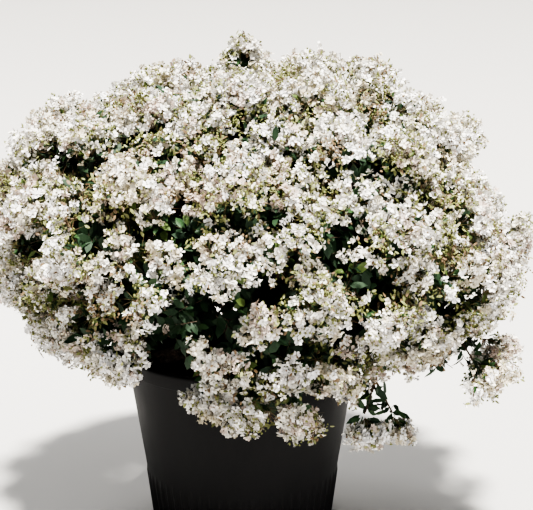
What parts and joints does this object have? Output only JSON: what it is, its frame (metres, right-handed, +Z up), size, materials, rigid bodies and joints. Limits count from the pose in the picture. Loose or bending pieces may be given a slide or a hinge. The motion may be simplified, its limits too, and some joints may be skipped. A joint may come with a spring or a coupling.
{
  "type": "potted crape myrtle",
  "caption": "Dwarf crape myrtle in full white bloom: a broad dome of blossom on branching limbs, growing in a large round black nursery pot.",
  "frame": {"origin": "centre of the pot's flat underside, on the ground", "axes": "+Z up along the pot's axis, -Y towards the front of the picture's view, +X to that view's right"},
  "size_m": [1.5792, 1.5121, 1.405],
  "materials": {
    "pot_plastic": "black moulded polyethylene, dusty and lightly scuffed",
    "potting_mix": "coarse damp bark mix",
    "bark": "smooth peeling bark, grey-brown with paler patches",
    "blossom_and_leaf": "crinkled white petals with yellow stamens, olive buds and dark green leaves"
  },
  "bodies": {
    "root": {"pot": "pot_plastic", "soil": "potting_mix", "trunk": "bark", "limb_1": "bark", "limb_2": "bark", "limb_3": "bark", "limb_4": "bark", "limb_5": "bark", "limb_6": "bark", "limb_7": "bark", "bough_shoulder_1": "bark", "bough_shoulder_2": "bark", "bough_shoulder_3": "bark", "bough_shoulder_4": "bark", "bough_shoulder_5": "bark", "bough_shoulder_6": "bark", "bough_shoulder_7": "bark", "bough_shoulder_8": "bark", "bough_shoulder_9": "bark", "bough_shoulder_10": "bark", "bough_skirt_1": "bark", "bough_skirt_2": "bark", "bough_skirt_3": "bark", "bough_skirt_4": "bark", "bough_skirt_5": "bark", "bough_skirt_6": "bark", "bough_skirt_7": "bark", "bough_skirt_8": "bark", "bough_skirt_9": "bark", "bough_skirt_10": "bark", "bough_low_1": "bark", "mass_top_1": "blossom_and_leaf", "mass_upper_1": "blossom_and_leaf", "mass_upper_2": "blossom_and_leaf", "mass_upper_3": "blossom_and_leaf", "mass_upper_4": "blossom_and_leaf", "mass_upper_5": "blossom_and_leaf", "mass_upper_6": "blossom_and_leaf", "mass_shoulder_1": "blossom_and_leaf", "mass_shoulder_2": "blossom_and_leaf", "mass_shoulder_3": "blossom_and_leaf", "mass_shoulder_4": "blossom_and_leaf", "mass_shoulder_5": "blossom_and_leaf", "mass_shoulder_6": "blossom_and_leaf", "mass_shoulder_7": "blossom_and_leaf", "mass_shoulder_8": "blossom_and_leaf", "mass_shoulder_9": "blossom_and_leaf", "mass_shoulder_10": "blossom_and_leaf", "mass_skirt_1": "blossom_and_leaf", "mass_skirt_2": "blossom_and_leaf", "mass_skirt_3": "blossom_and_leaf", "mass_skirt_4": "blossom_and_leaf", "mass_skirt_5": "blossom_and_leaf", "mass_skirt_6": "blossom_and_leaf", "mass_skirt_7": "blossom_and_leaf", "mass_skirt_8": "blossom_and_leaf", "mass_skirt_9": "blossom_and_leaf", "mass_skirt_10": "blossom_and_leaf", "mass_low_1": "blossom_and_leaf"}
  },
  "joints": []
}
